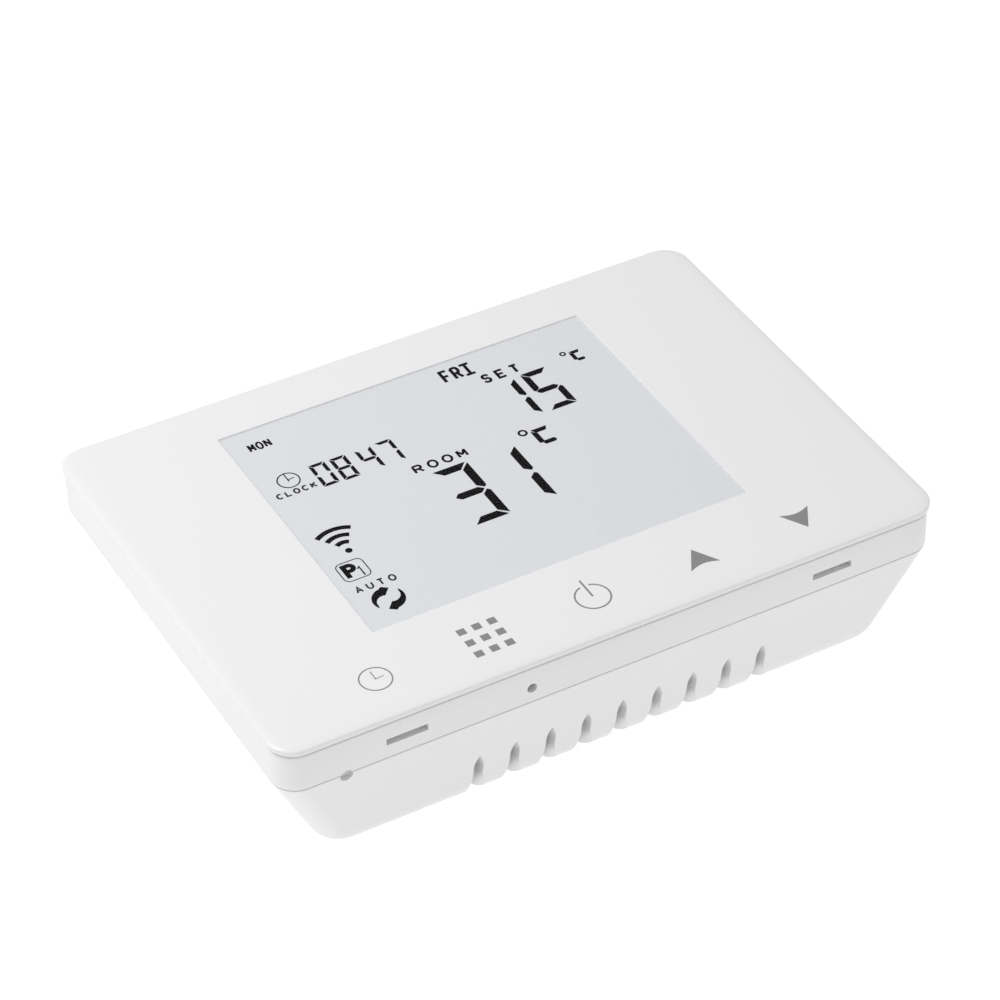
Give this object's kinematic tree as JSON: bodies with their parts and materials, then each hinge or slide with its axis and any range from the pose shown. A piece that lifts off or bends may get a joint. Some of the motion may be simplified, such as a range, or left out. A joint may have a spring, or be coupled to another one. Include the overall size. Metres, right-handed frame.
{
  "type": "wall thermostat",
  "caption": "Touch-screen wall thermostat: white touch panel with a large display window, shallow front housing that hinges off a tapered, vented wall housing.",
  "frame": {"origin": "middle of the flat back, on the wall plane", "axes": "+X to the right of the face, +Y to the top of the face, +Z out of the face; it lies on its back in the picture"},
  "size_m": [0.13, 0.091, 0.0305],
  "materials": {
    "panel": "smooth moulded white, glossy",
    "window_clear": "clear moulded window, glossy",
    "housing": "fine satin moulded white",
    "lcd_glass": "display glass, polished",
    "lcd_film": "pale grey rear film, satin",
    "light_guide": "milky white, satin",
    "led": "white package with yellow phosphor",
    "frame_plastic": "natural white, satin",
    "tin": "bright tinned",
    "circuit_board": "green solder resist, glossy",
    "radio_board": "blue solder resist, glossy",
    "screw_steel": "zinc plated",
    "spring_steel": "bright spring wire",
    "chip_black": "moulded epoxy, matt",
    "black_plastic": "moulded black, satin",
    "cell_steel": "polished steel",
    "button_grey": "moulded ivory, satin",
    "contact_gold": "gold flashed",
    "relay_blue": "moulded blue, satin",
    "core_steel": "dark ferrite, matt",
    "winding_tape": "yellow insulating tape, glossy",
    "capacitor_sleeve": "shrink sleeve, satin",
    "fuse_brown": "moulded brown, satin",
    "varistor_blue": "dipped epoxy, satin",
    "terminal_green": "moulded green, satin",
    "contact_brass": "tinned brass, satin",
    "terminal_screw_steel": "zinc plated"
  },
  "bodies": {
    "rear_unit": {"rear_housing": "housing", "power_pcb": "circuit_board", "power_pcb_screws": "screw_steel", "link_socket": "black_plastic", "relays": "relay_blue", "transformer_core": "core_steel", "transformer_bobbin": "winding_tape", "smoothing_capacitor": "capacitor_sleeve", "bridge_rectifier": "chip_black", "fuse": "fuse_brown", "varistor": "varistor_blue", "terminal_block": "terminal_green", "terminal_bars": "contact_brass"},
    "front_unit": {"touch_panel": "panel", "display_window": "window_clear", "front_housing": "housing", "lcd_glass": "lcd_glass", "lcd_rear_film": "lcd_film", "light_guide": "light_guide", "backlight_leds": "led", "lcd_frame": "frame_plastic", "lcd_pins": "tin", "control_pcb": "circuit_board", "control_pcb_screws": "screw_steel", "touch_springs": "spring_steel", "microcontroller": "chip_black", "wifi_board": "radio_board", "wifi_shield": "tin", "clock_crystal": "tin", "cell_holder": "black_plastic", "backup_cell": "cell_steel", "buzzer": "black_plastic", "ntc_bead": "chip_black", "ntc_leads": "tin", "reset_switch": "chip_black", "link_header": "black_plastic", "link_pins": "contact_gold"},
    "reset_button": {"reset_plunger": "button_grey"},
    "latch_left": {"latch_tongue_left": "housing"},
    "latch_right": {"latch_tongue_right": "housing"},
    "clamp_screw_1": {"terminal_screw_1": "terminal_screw_steel"},
    "clamp_cage_1": {"terminal_cage_1": "contact_brass"},
    "clamp_screw_2": {"terminal_screw_2": "terminal_screw_steel"},
    "clamp_cage_2": {"terminal_cage_2": "contact_brass"},
    "clamp_screw_3": {"terminal_screw_3": "terminal_screw_steel"},
    "clamp_cage_3": {"terminal_cage_3": "contact_brass"},
    "clamp_screw_4": {"terminal_screw_4": "terminal_screw_steel"},
    "clamp_cage_4": {"terminal_cage_4": "contact_brass"},
    "clamp_screw_5": {"terminal_screw_5": "terminal_screw_steel"},
    "clamp_cage_5": {"terminal_cage_5": "contact_brass"},
    "clamp_screw_6": {"terminal_screw_6": "terminal_screw_steel"},
    "clamp_cage_6": {"terminal_cage_6": "contact_brass"}
  },
  "joints": [
    {"name": "front_swing", "type": "hinge", "parent": "rear_unit", "child": "front_unit", "pos_m": [0, 0.04515, 0.021], "axis": [-1, 0, 0], "range_deg": [0, 35]},
    {"name": "reset_press", "type": "slide", "parent": "front_unit", "child": "reset_button", "axis": [0, 1, 0], "range_m": [0, 0.00025], "stiffness_N_per_m": 600, "springref_m": -0.0002},
    {"name": "latch_left_flex", "type": "hinge", "parent": "rear_unit", "child": "latch_left", "pos_m": [-0.04125, -0.04195, 0.0163], "axis": [-1, 0, 0], "range_deg": [0, 6], "stiffness_Nm_per_rad": 0.2, "springref_deg": -1.15},
    {"name": "latch_right_flex", "type": "hinge", "parent": "rear_unit", "child": "latch_right", "pos_m": [0.04275, -0.04195, 0.0163], "axis": [-1, 0, 0], "range_deg": [0, 6], "stiffness_Nm_per_rad": 0.2, "springref_deg": -1.15},
    {"name": "clamp_screw_turn_1", "type": "hinge", "parent": "rear_unit", "child": "clamp_screw_1", "pos_m": [-0.0127, -0.0026, 0.0159], "axis": [0, 0, -1], "range_deg": [0, 1080]},
    {"name": "clamp_cage_lift_1", "type": "slide", "parent": "rear_unit", "child": "clamp_cage_1", "axis": [0, 0, 1], "range_m": [0, 0.0015]},
    {"name": "clamp_screw_turn_2", "type": "hinge", "parent": "rear_unit", "child": "clamp_screw_2", "pos_m": [-0.00762, -0.0026, 0.0159], "axis": [0, 0, -1], "range_deg": [0, 1080]},
    {"name": "clamp_cage_lift_2", "type": "slide", "parent": "rear_unit", "child": "clamp_cage_2", "axis": [0, 0, 1], "range_m": [0, 0.0015]},
    {"name": "clamp_screw_turn_3", "type": "hinge", "parent": "rear_unit", "child": "clamp_screw_3", "pos_m": [-0.00254, -0.0026, 0.0159], "axis": [0, 0, -1], "range_deg": [0, 1080]},
    {"name": "clamp_cage_lift_3", "type": "slide", "parent": "rear_unit", "child": "clamp_cage_3", "axis": [0, 0, 1], "range_m": [0, 0.0015]},
    {"name": "clamp_screw_turn_4", "type": "hinge", "parent": "rear_unit", "child": "clamp_screw_4", "pos_m": [0.00254, -0.0026, 0.0159], "axis": [0, 0, -1], "range_deg": [0, 1080]},
    {"name": "clamp_cage_lift_4", "type": "slide", "parent": "rear_unit", "child": "clamp_cage_4", "axis": [0, 0, 1], "range_m": [0, 0.0015]},
    {"name": "clamp_screw_turn_5", "type": "hinge", "parent": "rear_unit", "child": "clamp_screw_5", "pos_m": [0.00762, -0.0026, 0.0159], "axis": [0, 0, -1], "range_deg": [0, 1080]},
    {"name": "clamp_cage_lift_5", "type": "slide", "parent": "rear_unit", "child": "clamp_cage_5", "axis": [0, 0, 1], "range_m": [0, 0.0015]},
    {"name": "clamp_screw_turn_6", "type": "hinge", "parent": "rear_unit", "child": "clamp_screw_6", "pos_m": [0.0127, -0.0026, 0.0159], "axis": [0, 0, -1], "range_deg": [0, 1080]},
    {"name": "clamp_cage_lift_6", "type": "slide", "parent": "rear_unit", "child": "clamp_cage_6", "axis": [0, 0, 1], "range_m": [0, 0.0015]}
  ],
  "couplings": [
    {"joint": "clamp_screw_turn_1", "follows": "clamp_cage_lift_1", "rad_per_m": 12560},
    {"joint": "clamp_screw_turn_2", "follows": "clamp_cage_lift_2", "rad_per_m": 12560},
    {"joint": "clamp_screw_turn_3", "follows": "clamp_cage_lift_3", "rad_per_m": 12560},
    {"joint": "clamp_screw_turn_4", "follows": "clamp_cage_lift_4", "rad_per_m": 12560},
    {"joint": "clamp_screw_turn_5", "follows": "clamp_cage_lift_5", "rad_per_m": 12560},
    {"joint": "clamp_screw_turn_6", "follows": "clamp_cage_lift_6", "rad_per_m": 12560}
  ]
}
